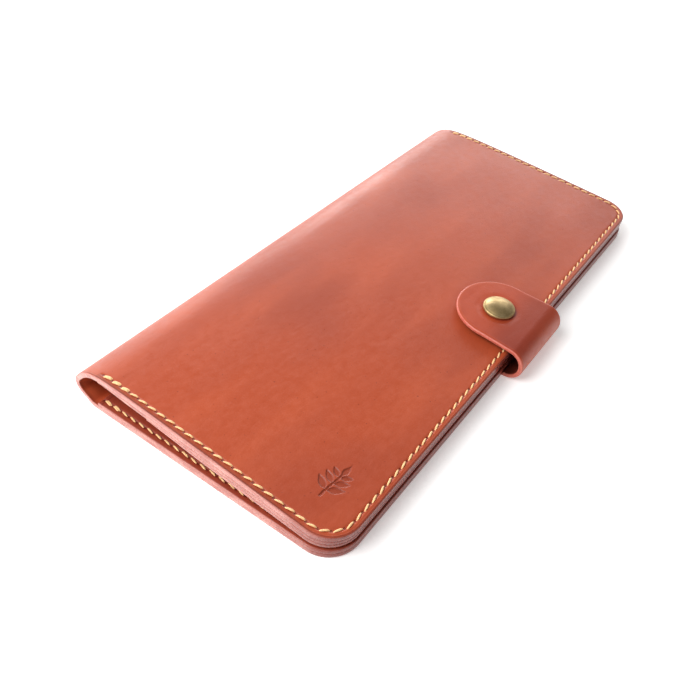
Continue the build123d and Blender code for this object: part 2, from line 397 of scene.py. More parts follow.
def lathe(name, node, body, profile, place, centre, sides):
    """A turned piece: profile holds (radius, height) from the axis back to the axis."""
    profile = np.array(profile)
    angle = np.arange(sides) * 2 * pi / sides
    middle = profile[1:-1]
    u = centre[0] + np.append(np.outer(middle[:, 0], np.cos(angle)), [0, 0])
    v = centre[1] + np.append(np.outer(middle[:, 0], np.sin(angle)), [0, 0])
    w = np.append(np.repeat(middle[:, 1], sides), profile[[0, -1], 1])
    ring = np.arange(len(middle) * sides).reshape(len(middle), sides)
    faces = [np.column_stack([r, np.roll(r, -1), np.roll(s, -1), s])
             for r, s in zip(ring, ring[1:])]
    first, last = len(u) - 2, len(u) - 1
    faces += [np.column_stack([np.full(sides, first), np.roll(ring[0], -1), ring[0]]),
              np.column_stack([np.full(sides, last), ring[-1], np.roll(ring[-1], -1)])]
    skin = np.column_stack([u - centre[0], v - centre[1], w])
    new_piece(name, [node], "brass", body, place(u, v, w), faces, {"skin": skin})


# ---- stitches ----
STITCH_RINGS, STITCH_SIDES = 15, 12
PLY_TURN, PLY_DEPTH = 2.3, 0.09     # millimetres for one turn of the two plies, and their relief
STITCH_SLANT = radians(12.5)
TWIN_GAP = 0.42                     # between the two strands of a doubled stitch


def stitch_shape(length, radius, lift, dive):
    """One thread of two twisted plies that comes out of a hole and goes into the next."""
    t = np.linspace(-1, 1, STITCH_RINGS)
    line = np.column_stack([t * length / 2, 0 * t, lift - dive * np.abs(t) ** 3.2])
    ahead = np.gradient(line, axis=0)
    ahead /= np.linalg.norm(ahead, axis=1)[:, None]
    side = np.array([0.0, 1.0, 0.0])
    up = np.cross(ahead, side)
    up *= np.sign(up[:, 2:])
    rows = []
    for angle in np.arange(STITCH_SIDES) * 2 * pi / STITCH_SIDES:
        lobes = 1 + PLY_DEPTH * np.cos(2 * angle - 2 * pi * line[:, 0] / PLY_TURN)
        thin = radius * lobes * (1 - 0.30 * np.abs(t) ** 3)
        rows.append(line + thin[:, None] * (cos(angle) * side + 0.9 * sin(angle) * up))
    strand = np.zeros((STITCH_RINGS, STITCH_SIDES, 3))      # along, round and near the ends
    strand[:, :, 0] = line[:, :1]
    strand[:, :, 1] = np.arange(STITCH_SIDES) / STITCH_SIDES
    strand[:, :, 2] = np.abs(t)[:, None] ** 5
    ring = np.arange(STITCH_RINGS * STITCH_SIDES).reshape(STITCH_RINGS, STITCH_SIDES)
    quads = np.concatenate([np.column_stack([r, s, np.roll(s, -1), np.roll(r, -1)])
                            for r, s in zip(ring, ring[1:])])
    caps = np.array([ring[0], ring[-1][::-1]])
    return np.stack(rows, axis=1).reshape(-1, 3), strand.reshape(-1, 3), quads, caps


class Thread:
    """Gathers the stitches of one thread and makes them one piece."""

    def __init__(self, seed):
        self.stitches, self.size = [], 0
        self.random = np.random.default_rng(seed)

    def row(self, seam, place, slant, up=1.0, w=0.0, lift=0.08, doubled=0, **shape):
        """Stitches all along a seam. w is the height of the leather, or a function of a."""
        for n in range(seam.count):
            a, v, ta, tv = (float(q) for q in seam.at(np.array((n + 0.5) * seam.pitch)))
            at, along = (a, v, w(a) if callable(w) else w), (ta, tv)
            twin = n < doubled or n >= seam.count - doubled
            for aside in (-TWIN_GAP / 2, TWIN_GAP / 2) if twin else (0.0,):
                self.one(place, at, along, slant, up, lift, aside=aside,
                         shift=seam.pitch * 0.04 * (aside > 0), **shape)

    def one(self, place, at, along, slant, up, lift, length=3.0, radius=0.28, dive=0.62,
            aside=0.0, shift=0.0):
        """A stitch at (a, v, w), laid along a direction in a and v, each a little different."""
        draw = self.random.normal(size=5)
        angle = slant + radians(1.6) * draw[0]
        shape, strand, quads, caps = stitch_shape(
            length * (1 + 0.025 * draw[1]), radius * (1 + 0.035 * draw[2]),
            lift + 0.03 * draw[3], dive)
        x, y = shape[:, 0] + shift, shape[:, 1] + aside + 0.03 * draw[4]
        x, y = x * cos(angle) - y * sin(angle), x * sin(angle) + y * cos(angle)
        ta, tv = along
        points = place(at[0] + x * ta - y * tv, at[1] + x * tv + y * ta, at[2] + up * shape[:, 2])
        if six_volumes(points, [quads, caps]) < 0:
            quads, caps = quads[:, ::-1], caps[:, ::-1]
        skin = strand + [7.3 * (len(self.stitches) + 1), 0, 0]
        self.stitches.append((points, skin, quads + self.size, caps + self.size))
        self.size += len(shape)

    def piece(self, row, body):
        points, skin, quads, caps = map(np.concatenate, zip(*self.stitches))
        new_piece(row + "_stitches", [row + "_thread"], "thread", body, points, [quads, caps],
                  {"skin": skin})


# ---- materials ----
class Shader:
    """Builds the nodes of a material or world. Each call makes a node and gives its output."""

    def __init__(self, holder, body="Principled BSDF"):
        holder.use_nodes = True
        self.holder, self.tree = holder, holder.node_tree
        self.body = self.tree.nodes[body]

    def feed(self, socket, value):
        if isinstance(value, bpy.types.NodeSocket):
            self.tree.links.new(value, socket)
        elif value is not None:
            socket.default_value = (*value, 1.0) if socket.type == "RGBA" else value

    def node(self, kind, sockets, out=0, **settings):
        """sockets maps their names or numbers to values, None leaving one as it is."""
        made = self.tree.nodes.new("ShaderNode" + kind)
        for key, value in settings.items():
            setattr(made, key, value)
        for key, value in sockets.items():
            self.feed(made.inputs[key], value)
        return made.outputs[out]

    def finish(self, **values):
        for key, value in values.items():
            self.feed(self.body.inputs[key.replace("_", " ")], value)
        return self.holder

    def field(self, key, vector=False):
        return self.node("Attribute", {}, out=1 if vector else 2, attribute_name=key)

    def part(self, vector, axis):
        return self.node("SeparateXYZ", {0: vector}, out="XYZ".index(axis))

    def math(self, operation, *values):
        return self.node("Math", dict(enumerate(values)), operation=operation)

    def times(self, first, second):
        return self.math("MULTIPLY", first, second)

    def stretched(self, vector, scale, turn=0.0):
        return self.node("Mapping", {"Vector": vector, "Scale": scale, "Rotation": (0, 0, turn)})

    def noise(self, vector, scale, detail, rough):
        return self.node("TexNoise", {"Vector": vector, "Scale": scale, "Detail": detail,
                                      "Roughness": rough})

    def between(self, value, low, high, to_low=0.0, to_high=1.0):
        return self.node("MapRange", {"Value": value, "From Min": low, "From Max": high,
                                      "To Min": to_low, "To Max": to_high},
                         interpolation_type="SMOOTHSTEP")

    def mix(self, share, first, second):
        return self.node("Mix", {0: share, 6: first, 7: second}, out=2, data_type="RGBA")

    def bump(self, height, distance, strength, normal=None):
        return self.node("Bump", {"Strength": strength, "Distance": distance, "Height": height,
                                  "Normal": normal})


HIDE_SHIFT = 119.0                  # picks the clouds and bands of the hide
HOLE_LENGTH, HOLE_WIDTH = 0.42, 0.34
RIM_ROUGH = 0.24


def leather_material(name, deep, plain, light, rim_colour, rim_light, rough=0.40, coat=0.05,
                     pressed=(0.130, 0.017, 0.008)):
    """Vegetable-tanned leather: clouds, bands, pores, specks, pressed lines, polished rims, painted
    shade.
    """
    s = Shader(bpy.data.materials.new(name))
    skin = s.field("skin", vector=True)
    tone = s.field("tone")
    seam = s.field("seam", vector=True)

    hide = s.node("VectorMath", {0: skin, 1: (0.0, 0.0, HIDE_SHIFT)}, operation="ADD")
    clouds = s.noise(s.stretched(hide, (0.030, 0.017, 0.1), 0.5), 1.0, 4.0, 0.5)
    bands = s.noise(s.stretched(hide, (0.075, 0.018, 0.1), 0.9), 1.0, 2.0, 0.45)
    mottle = s.noise(skin, 0.35, 5.0, 0.62)
    fine = s.noise(skin, 3.1, 3.0, 0.6)
    specks = s.noise(skin, 1.25, 1.0, 0.4)
    colour = s.mix(s.between(clouds, 0.28, 0.62, 0.35, 1.0), deep, plain)
    colour = s.mix(s.between(bands, 0.42, 0.75, 0.0, 0.45), colour, light)
    colour = s.mix(s.between(mottle, 0.30, 0.70, 0.16, 0.0), colour, deep)
    colour = s.mix(s.between(fine, 0.36, 0.64, 0.10, 0.0), colour, deep)
    colour = s.mix(s.between(specks, 0.735, 0.775, 0.0, 0.55), colour, pressed)
    # tone lightens and darkens: pressed lines and marks, and in some places painted highlight,
    # reflection and shade
    colour = s.mix(s.math("MAXIMUM", s.times(tone, 0.85), 0.0), colour, light)
    colour = s.mix(s.math("MAXIMUM", s.times(tone, -0.85), 0.0), colour, pressed)

    # each hole is a small slot painted dark with shade, with leather drawn down round it
    turns = s.math("FRACT", s.math("ADD", s.part(seam, "X"), 0.5))
    to_hole = s.math("ABSOLUTE", s.math("SUBTRACT", turns, 0.5))
    reach = s.math("POWER", s.times(to_hole, PITCH / HOLE_LENGTH), 2.0)
    off = s.math("DIVIDE", s.part(seam, "Y"), HOLE_WIDTH)
    reach = s.math("ADD", reach, s.math("POWER", off, 2.0))
    hole = s.between(reach, 0.35, 1.25, 1.0, 0.0)
    # painted shade in the stitch holes
    colour = s.mix(s.times(hole, 0.70), colour, (0.140, 0.020, 0.010))
    # painted shade on the strap's inside, standing for the shadow in its loop
    colour = s.mix(s.field("inside_shade"), colour, (0.040, 0.010, 0.008))

    fibres = s.noise(s.stretched(skin, (1.6, 1.6, 4.0)), 1.0, 3.0, 0.6)
    streaks = s.noise(s.stretched(skin, (0.16, 0.16, 9.0)), 1.0, 3.0, 0.55)
    layers = s.mix(s.between(fibres, 0.22, 0.55, 0.30, 1.0), rim_colour, rim_light)
    layers = s.mix(s.between(streaks, 0.38, 0.62, 0.60, 0.0), layers, rim_colour)
    # painted shade on the rims of the free edges, which face away from the light
    layers = s.mix(s.field("edge_shade"), layers, (0.200, 0.026, 0.016))
    on_rim = s.between(s.field("rim"), 0.32, 0.88)
    colour = s.mix(on_rim, colour, layers)

    gloss = s.between(mottle, 0.30, 0.72, rough - 0.05, rough + 0.07)
    gloss = s.math("ADD", gloss, s.between(clouds, 0.35, 0.65, 0.03, -0.03))
    gloss = s.math("SUBTRACT", gloss, s.times(on_rim, rough - RIM_ROUGH))
    pores = s.noise(skin, 2.3, 2.0, 0.55)
    creases = s.noise(s.stretched(skin, (0.55, 0.22, 0.5), 0.4), 1.0, 3.0, 0.5)
    normal = s.bump(creases, 0.00022, 0.35)
    normal = s.bump(pores, 0.00005, 0.55, normal)
    normal = s.bump(s.times(hole, -1.0), 0.00025, 0.8, normal)
    normal = s.bump(s.times(fibres, on_rim), 0.00003, 0.35, normal)
    return s.finish(Base_Color=colour, Roughness=gloss, Normal=normal, Coat_Weight=coat,
                    Coat_Roughness=0.30, IOR=1.5, Specular_IOR_Level=0.36)


def thread_material():
    """Waxed thread of two plies: cream strands, painted shade in the twist and at the ends."""
    s = Shader(bpy.data.materials.new("waxed_thread"))
    skin = s.field("skin", vector=True)
    along, round_it, tip = s.part(skin, "X"), s.part(skin, "Y"), s.part(skin, "Z")
    lay = s.math("SUBTRACT", s.times(round_it, 2.0), s.math("DIVIDE", along, PLY_TURN / 2))
    twist = s.math("ABSOLUTE", s.math("SUBTRACT", s.math("FRACT", lay), 0.5))
    gap = s.between(twist, 0.30, 0.50)
    fibre = s.noise(s.stretched(skin, (5.0, 26.0, 0.0), 0.12), 1.0, 3.0, 0.6)
    colour = s.mix(s.between(fibre, 0.3, 0.7), (0.93, 0.50, 0.185), (1.0, 0.73, 0.385))
    # painted shade in the twist between the plies
    colour = s.mix(s.times(gap, 0.30), colour, (0.60, 0.24, 0.08))
    # painted shade and red light from the leather where the ends dive into the holes
    colour = s.mix(s.between(tip, 0.15, 0.95, 0.0, 0.85), colour, (0.62, 0.20, 0.06))
    normal = s.bump(s.times(gap, -1.0), 0.00006, 0.8)
    normal = s.bump(fibre, 0.00003, 0.6, normal)
    return s.finish(Base_Color=colour, Roughness=s.between(fibre, 0.3, 0.7, 0.62, 0.45),
                    Normal=normal, Sheen_Weight=0.15, Sheen_Roughness=0.5)


def brass_material():
    """Antique brass: brushed, with dark patina away from the rubbed places."""
    s = Shader(bpy.data.materials.new("antique_brass"))
    skin = s.field("skin", vector=True)
    patina = s.noise(skin, 0.55, 5.0, 0.65)
    fine = s.noise(skin, 4.0, 3.0, 0.6)
    scratch = s.noise(s.stretched(skin, (1.2, 16.0, 1.0), 0.6), 1.0, 2.0, 0.5)
    colour = s.mix(s.between(patina, 0.35, 0.68), (0.43, 0.305, 0.140), (0.61, 0.450, 0.230))
    colour = s.mix(s.between(fine, 0.40, 0.62, 0.20, 0.0), colour, (0.16, 0.115, 0.05))
    rough = s.math("ADD", s.between(patina, 0.3, 0.7, 0.44, 0.34),
                   s.between(scratch, 0.45, 0.7, 0.0, 0.10))
    normal = s.bump(fine, 0.00003, 0.5)
    normal = s.bump(scratch, 0.00002, 0.5, normal)
    return s.finish(Base_Color=colour, Roughness=rough, Normal=normal, Metallic=1.0)


LOOKS = {
    "cover_leather": leather_material(
        "cover_leather_skin", (0.310, 0.045, 0.016), (0.435, 0.070, 0.023), (0.540, 0.100, 0.036),
        (0.38, 0.100, 0.078), (0.68, 0.315, 0.268)),
    # a darker copy of the cover leather, darker partly as painted shade inside the wallet
    "inner_leather": leather_material(
        "inner_leather_skin", (0.205, 0.028, 0.013), (0.295, 0.044, 0.020), (0.380, 0.066, 0.029),
        (0.35, 0.086, 0.066), (0.64, 0.280, 0.232), rough=0.46, coat=0.04),
    "strap_leather": leather_material(
        "strap_leather_skin", (0.295, 0.035, 0.013), (0.440, 0.060, 0.019), (0.56, 0.095, 0.032),
        (0.46, 0.085, 0.055), (0.70, 0.200, 0.145), rough=0.38, coat=0.02,
        pressed=(0.120, 0.010, 0.006)),
    "thread": thread_material(),
    "brass": brass_material(),
}


# ---- places ----
def mid_front(x, w):
    """Height of the front leaf's plane at x, raised by w along its own normal."""
    return CREST[1] - SLOPE * (x - CREST[0]) + w / cos(TILT)


# the cover's middle line, from the back leaf's free edge round to the front leaf's
free_end = (CREST[0] + LEAF_U * cos(TILT) - COVER_T / 2 * sin(TILT),
            CREST[1] - LEAF_U * sin(TILT) - COVER_T / 2 * cos(TILT))
cover_line = Strip(((LEAF_END, COVER_T / 2), (0.4, COVER_T / 2), (-7.5, 6.4),
                    (1.6, mid_front(1.6, -COVER_T / 2)), free_end), (3.0, 4.0, 9.0),
                   soft_from=100.0)
back_flat_s = LEAF_END - BACK_START_X
front_flat_s = cover_line.length - LEAF_U + along_front(FRONT_START_X)
split_s = (back_flat_s + front_flat_s) / 2
FRONT_A = cover_line.length - split_s          # from the split to the front leaf's free edge
BACK_A = split_s                               # from the split to the back leaf's free edge
FRONT_SPLIT_U, BACK_SPLIT_X = LEAF_U - FRONT_A, LEAF_END - BACK_A


def bow(u):
    """Rise of the front leaf over its plane, and the fall of the crest just before it."""
    after, before = np.maximum(u, 0), np.minimum(u, 0)
    rise = BOW * (1 - np.exp(-after / BOW_RISE)) * (1 - np.clip(after / LEAF_U, 0, 1) ** 1.5)
    return rise + BOW / BOW_RISE * before * np.exp(-(before / 5) ** 2)


def front_cover_place(a, v, w):
    return cover_line.place(split_s + a, v, w + bow(a - FRONT_A + LEAF_U))


def back_cover_place(a, v, w):
    return cover_line.place(split_s - a, v, w)


def flat_front_place(u, v, w):
    """Points u from the crest down the front leaf's plane and w over it."""
    return placed(CREST[0] + u * cos(TILT) + w * sin(TILT), v,
                  CREST[1] - u * sin(TILT) + w * cos(TILT))


def front_place(u, v, w):
    return flat_front_place(u, v, w + bow(u))


front_seam = Seam(along_front(FRONT_SEAM_X), LEAF_U - SEAM_INSET, HALF - SEAM_INSET,
                  CORNER_R - SEAM_INSET)
back_seam = Seam(BACK_SEAM_X, LEAF_END - SEAM_INSET, HALF - SEAM_INSET, CORNER_R - SEAM_INSET)
root_seam = Seam(0.0, ROOT_SEAM_END_X - ROOT_START_X - ROOT_SEAM_INSET,
                 STRAP_HALF - ROOT_SEAM_INSET, ROOT_CORNER_R - ROOT_SEAM_INSET)


# ---- pressed and worn places ----
FACE_GROOVE = (0.62, 0.20)          # half width and depth of the groove under a seam's stitches
SUNK_GROOVE = (0.66, 0.62)          # the same on the underside, where the stitches lie sunk
ROOT_GROOVE = (0.62, 0.60)
# how much painted shade darkens the rims of the free edges
FREE_EDGE_SHADE = 0.85
CREASE = 0.05


def groove(off, half_width, depth):
    """A rounded groove along a seam."""
    return depth * np.clip(1 - (off / half_width) ** 2, 0, 1) ** 1.5


def lead(a, start):
    """From 0 to 1 where a seam's groove starts."""
    return smooth(a, start - 1.2, start - 0.3)


def ridge(distance, middle, width):
    return np.exp(-((distance - middle) / width) ** 2)


def ripple(a, v, size=0.05):
    """The slow unevenness of a hide. It has to die out towards an edge."""
    return size * (np.sin(a / 9.1 + 1.3 * np.sin(v / 23.0)) * np.sin(v / 12.7 + 0.6)
                   + 0.6 * np.sin(a / 4.3 + v / 6.1) * np.sin(v / 7.9 - a / 11.0))


def edge_distance(a, v, end, half=HALF, radius=CORNER_R):
    """Distance inward from a sheet's sides and rounded free end."""
    da, dm = a - (end - radius), np.abs(v) - (half - radius)
    return np.where((da > 0) & (dm > 0), radius - np.hypot(da, dm),
                    np.minimum(end - a, half - np.abs(v)))


def free_share(a, v, end):
    """From 0 on the two sewn ends to 1 on the free edge, turning at its corners."""
    return smooth(np.abs(v) - HALF + end - a, 26.0, -4.0)


def mark(u, v):
    """How deep the small sprig of leaves is pressed, from 0 to 1."""
    p, q = u - along_front(MARK_X), v - MARK_Y

    def leaf(along, across, length, wide):
        t = np.clip(along / length, 0, 1)
        return np.hypot(along - t * length, across) - wide * np.sin(pi * t ** 0.8)

    lean = radians(34)
    stem_p = 0.5 * np.sin(q / 4.0)
    nearest = np.hypot(p - stem_p, q - np.clip(q, -5.6, 3.4)) - 0.24
    for base, length, wide in ((-3.4, 4.6, 1.30), (-0.7, 4.1, 1.20), (1.8, 3.3, 1.02)):
        for side in (-1, 1):
            x, y = (p - 0.5 * np.sin(base / 4.0)) * side, q - base
            along = x * cos(lean) + y * sin(lean) - 0.5
            across = -x * sin(lean) + y * cos(lean)
            nearest = np.minimum(nearest, leaf(along, across, length, wide * 0.72))
    nearest = np.minimum(nearest, leaf(q - 3.0, p - stem_p, 3.6, 0.80))
    return smooth(nearest, 0.16, -0.10)


# ---- the cover ----
RIM = 0.42                          # how far the rounded edge reaches past the flat face
COVER_HALF = HALF - RIM
SPLIT_STEPS = [0.05, 0.12, 0.25, 0.45, 0.7]
SIDE_STEPS = np.concatenate([HALF - EDGE_STEPS, EDGE_STEPS - HALF])
COARSE_V = np.arange(-96, 97, 12.0)


def cover_half(side, place, end, start, seam, more_a, more_v, dent, fields):
    """The cover from the split in the spine's loop to a leaf's free edge.

    start is the split on the seam's a, and more_a and more_v are grid lines for pressed places.
    """
    side_holes, edge_holes = seam.holes()
    near_split = [*SPLIT_STEPS, 1.0, 1.35, *np.arange(1.75, 3 - start, 0.42)]
    a_lines = joined_lines(0.0, end - RIM, near_split, round_holes(side_holes) - start,
                           end - EDGE_STEPS, more_a - start)
    v_lines = joined_lines(-COVER_HALF, COVER_HALF, SIDE_STEPS, round_holes(edge_holes), more_v)
    coarse = ([*near_split, *np.arange(20, end, 6.0), *(end - EDGE_STEPS[::4])],
              [*COARSE_V, *(HALF - EDGE_STEPS[::5]), *(EDGE_STEPS[::5] - HALF)])
    return leather(f"cover_{side}_half", (f"cover_{side}_leaf", "cover_spine"), "cover_leather",
                   place, a_lines, v_lines, coarse, CORNER_R, RIM, COVER_T / 2, -COVER_T / 2, dent,
                   fields)


def front_dent(a, v):
    u = a + FRONT_SPLIT_U
    _, off = front_seam.measure(u, v)
    inward = edge_distance(a, v, FRONT_A)
    return (groove(off, *FACE_GROOVE) * lead(u, front_seam.start)
            + CREASE * ridge(inward, 0.85, 0.16) + 0.26 * mark(u, v)
            + ripple(a, v) * smooth(inward, 2, 9) * smooth(u, 0, 8))


def front_fields(a, v, rim):
    u = a + FRONT_SPLIT_U
    along, off = front_seam.measure(u, v)
    free = free_share(a, v, FRONT_A)
    # lighter outside the seam along the free edge, a painted highlight, and darker along the sewn
    # ends, painted shade
    margin_sheen_and_shade = smooth(off, 0.2, -0.5) * (0.62 * free - 0.34)
    line = -(0.60 + 0.35 * free) * ridge(edge_distance(a, v, FRONT_A), 0.43, 0.22)
    sunk = mark(u, v)
    return hide_fields(split_s + a, v, rim, along, off,
                       margin_sheen_and_shade + line - 0.32 * sunk - 3.2 * sunk * (1 - sunk), FREE_EDGE_SHADE * free)


def root_outline(x, y):
    """Distance outside the strap root's outline on the underside."""
    dx = ROOT_START_X + ROOT_CORNER_R - x
    dy = np.abs(y - STRAP_Y) - (STRAP_HALF - ROOT_CORNER_R)
    return (np.hypot(np.maximum(dx, 0), np.maximum(dy, 0)) + np.minimum(np.maximum(dx, dy), 0)
            - ROOT_CORNER_R)


def back_dent(a, v):
    x = a + BACK_SPLIT_X
    _, off = back_seam.measure(x, v)
    outside = root_outline(x, v)
    let_in = (ROOT_T + 0.01) * smooth(outside, 0.12, -0.26)
    thread = groove(off, *SUNK_GROOVE) * lead(x, back_seam.start) * (1 - smooth(outside, 0.3, -0.3))
    return np.maximum(thread, let_in) + CREASE * ridge(edge_distance(a, v, BACK_A), 0.85, 0.16)


def back_fields(a, v, rim):
    x = a + BACK_SPLIT_X
    along, off = back_seam.measure(x, v)
    line = -0.7 * ridge(edge_distance(a, v, BACK_A), 0.50, 0.20)
    joint = -0.9 * ridge(root_outline(x, v), 0, 0.3)
    return hide_fields(split_s - a, v, rim, along, off, line + joint,
                       FREE_EDGE_SHADE * free_share(a, v, BACK_A))


# ---- inner panels ----
MOUTH_STEPS = np.array([0.6, 0.8, 1.0, 1.2, 1.35, 1.5, 1.65, 1.8, 2.0, 2.4, 3.0, 4.0, 5.5])
MOUTH_LINE = 1.5                    # from a panel's mouth to the line pressed along it


def panel(node, body, place, start, outer, inner, seam, end=LEAF_U, divider_from=None,
          seam_until=inf, tone=0.0, skin_shift=0.0, roundness=EDGE_ROUNDNESS):
    """A flat inner panel. outer is its seen face, which looks into the wallet."""
    side_holes, edge_holes = seam.holes()
    side_holes = side_holes[side_holes < seam_until + 2]
    if seam_until < end:
        edge_holes = edge_holes[::8]
    a_lines = joined_lines(start + RIM, end - RIM, start + MOUTH_STEPS, round_holes(side_holes),
                           end - EDGE_STEPS, np.arange(start + 8, end, 4.0))
    middle = [] if divider_from is None else np.arange(-1.2, 1.21, 0.2)
    v_lines = joined_lines(-COVER_HALF, COVER_HALF, SIDE_STEPS, round_holes(edge_holes),
                           np.arange(-94, 95, 4.0), middle)

    def dent(a, v):
        _, off = seam.measure(a, v)
        off = np.where(a > seam_until + 1.5, 9.0, off)
        depth = groove(off, *FACE_GROOVE) * lead(a, seam.start)
        depth = depth + 0.09 * ridge(a - start, MOUTH_LINE, 0.22)
        if divider_from is not None:
            depth = depth + groove(v, *FACE_GROOVE) * lead(a, divider_from)
        fading = smooth(edge_distance(a, v, end), 2, 9) * smooth(a - start, 2, 8)
        return depth + ripple(a, v + 31, 0.03) * fading

    def fields(a, v, rim):
        along, off = seam.measure(a, v)
        if divider_from is not None:
            row = (np.abs(v) < 2) & (a > divider_from - 1.7)
            along, off = np.where(row, (a - divider_from) / PITCH, along), np.where(row, v, off)
        return hide_fields(a + skin_shift, v, rim, along, off,
                           tone - 0.6 * ridge(a - start, MOUTH_LINE, 0.25),
                           FREE_EDGE_SHADE * free_share(a, v, end))

    leather(node + "_panel", [node], "inner_leather", place, a_lines, v_lines,
            (np.arange(start, end, 7.0), COARSE_V), CORNER_R, RIM, outer, inner, dent, fields,
            body=body, roundness=roundness)


# ---- strap ----
STRAP_RIM = 0.70
STRAP_STEPS = np.array([0.7, 0.9, 1.15, 1.4, 1.65, 1.9, 2.2, 2.6, 3.2, 4.0])
BEND_LINES = np.concatenate([SPLIT_STEPS, np.arange(1.0, 9.0, 0.3)])
STRAP_ON_HIDE = 300                 # keeps the strap away from the cover's place on the hide
# how much painted shade darkens the strap's inside, for the shadow in its loop
INSIDE_SHADE = 0.8
HINGE_X = 95.43                     # of both folds in the strap's bend
FOLD_LOW_Z, SPLIT_Z, FOLD_HIGH_Z = 1.4, 5.675, 10.455
tip_x = TIP_CENTRE_X - TONGUE_HALF
strap_line = Strip(((ROOT_START_X, STRAP_T / 2), (BEND[0][0], STRAP_T / 2),
                    (BEND[1][0], mid_front(BEND[1][0], SNAP_GAP + STRAP_T / 2)),
                    (tip_x, mid_front(tip_x, SNAP_GAP + STRAP_T / 2))), (BEND[0][1], BEND[1][1]))
strap_split_s = strap_line.nearest(HINGE_X, SPLIT_Z)
ROOT_A, TONGUE_A = strap_split_s, strap_line.length - strap_split_s


def strap_half(name, nodes, place, end, half, corner_r, inner, more_a, more_v, dent, fields):
    """The strap from the split in its bend to one of its ends."""
    a_lines = joined_lines(0.0, end - STRAP_RIM, BEND_LINES, *more_a)
    v_lines = joined_lines(STRAP_RIM - half, half - STRAP_RIM, half - STRAP_STEPS,
                           STRAP_STEPS - half, *more_v)
    return leather(name, nodes, "strap_leather", place, a_lines, v_lines, (a_lines, v_lines),
                   corner_r, STRAP_RIM, -STRAP_T / 2, inner, dent, fields, centre=STRAP_Y,
                   roundness=(0.9, 0.9))


def strap_lower():
    edge_seam_x = LEAF_END - SEAM_INSET

    def turned(way):
        """The x of the flat root at a strap's own a, and the other way round."""
        return strap_split_s + ROOT_START_X - way

    def inner(a):
        thick, skived = STRAP_T / 2, ROOT_T - STRAP_T / 2
        return thick + (skived - thick) * smooth(turned(a), LEAF_END + 0.35, LEAF_END - 0.15)

    def dent(a, v):
        seam_a = ROOT_SEAM_END_X - turned(a)
        _, off = root_seam.measure(seam_a, v)
        return np.maximum(groove(off, *ROOT_GROOVE) * lead(seam_a, 0.0),
                          groove(turned(a) - edge_seam_x, *SUNK_GROOVE))

    def fields(a, v, rim):
        seam_a, across = ROOT_SEAM_END_X - turned(a), turned(a) - edge_seam_x
        along, off = root_seam.measure(seam_a, v - STRAP_Y)
        off = np.where(seam_a < -1.0, 9.0, off)
        # the back leaf's edge seam runs across under the strap
        edge_run = back_seam.run + back_seam.turn + v + back_seam.half - back_seam.radius
        cross = np.abs(across) < 1.5
        along = np.where(cross, edge_run / back_seam.pitch, along)
        off = np.where(cross, across, off)
        side = STRAP_HALF - np.abs(v - STRAP_Y)
        # lighter at the bend's crown, a painted reflection of the floor, and darker along the sides
        line = 0.45 * smooth(a, 5.0, 0.0) - 0.30 * smooth(side, 0.9, 0.4)
        return hide_fields(strap_split_s - a + STRAP_ON_HIDE, v, rim, along, off, line,
                           inside_shade=INSIDE_SHADE)

    over_seam = np.arange(-0.75, 0.76, 0.15)
    more_a = (turned(LEAF_END) + np.arange(-0.6, 0.61, 0.12),
              turned(edge_seam_x) + np.arange(-0.9, 0.91, 0.15),
              round_holes(turned(ROOT_SEAM_END_X - root_seam.holes()[0])),
              ROOT_A - np.arange(0.6, 7.0, 0.3))
    more_v = (np.arange(-12, 12.1, 0.55), STRAP_HALF - ROOT_SEAM_INSET + over_seam,
              ROOT_SEAM_INSET - STRAP_HALF + over_seam)
    return strap_half("strap_root_half", ("strap_root", "strap_bend"),
                      lambda a, v, w: strap_line.place(strap_split_s - a, v, w), ROOT_A, STRAP_HALF,
                      ROOT_CORNER_R, inner, more_a, more_v, dent, fields)


def strap_upper():
    snap_a = TONGUE_A - (along_front(SNAP_X) - along_front(tip_x))

    def place(a, v, w):
        """The tongue is fuller towards the bend."""
        x = strap_line.at(strap_split_s + a, 0)[0]
        wide = 1 + (STRAP_HALF / TONGUE_HALF - 1) * smooth(x, TIP_CENTRE_X, BEND[1][0])
        return strap_line.place(strap_split_s + a, STRAP_Y + (v - STRAP_Y) * wide, w)

    def dent(a, v):
        """The cap beds a little into the leather."""
        inward = edge_distance(a, v, TONGUE_A, TONGUE_HALF, TONGUE_HALF)
        return (0.16 * smooth(np.hypot(a - snap_a, v), 8.2, 5.4)
                + ripple(a, v + 60, 0.03) * smooth(a, 2, 5) * smooth(inward, 1, 4))

    def fields(a, v, rim):
        ring = np.hypot(a - snap_a, v - STRAP_Y)
        inward = edge_distance(a, v - STRAP_Y, TONGUE_A, TONGUE_HALF, TONGUE_HALF)
        # painted shadow in a ring round the cap's rim
        shade = -0.35 * smooth(ring, 6.4, 5.5) * smooth(ring, 4.4, 5.4)
        # lighter along the edge, a painted highlight, lighter at the bend's crown, a painted
        # reflection of the floor, and darker from the bend onto the tongue, painted shade
        line = (0.35 * smooth(inward, 1.4, 0.7) + 0.45 * smooth(a, 5.0, 0.0)
                - 0.54 * smooth(a, 21.0, 10.0) * smooth(a, 2.0, 7.0))
        return hide_fields(strap_split_s + a + STRAP_ON_HIDE, v, rim, 0.5, 9.0, shade + line,
                           inside_shade=INSIDE_SHADE)

    more_a = np.arange(9, TONGUE_A, 0.4), TONGUE_A - STRAP_STEPS
    return strap_half("strap_tongue_half", ("strap_bend", "strap_tongue"), place, TONGUE_A,
                      TONGUE_HALF, TONGUE_HALF, STRAP_T / 2, more_a, [np.arange(-12, 12.1, 0.4)],
                      dent, fields)


# ---- building the leather ----
def pared(u, start, run):
    """Thickness of a panel that is pared thin towards its mouth."""
    return PANEL_T * (0.36 + 0.64 * smooth(u, start, start + run))


def bill_face(u):
    return -COVER_T - pared(u, bill_start, 14.0)


def card_face(u):
    return -COVER_T - PANEL_T - pared(u, card_start, 22.0)


def seam_face(u):
    """The face that the front leaf's seam shows on inside."""
    return bill_face(u) if u < card_start - PITCH / 2 else card_face(u)


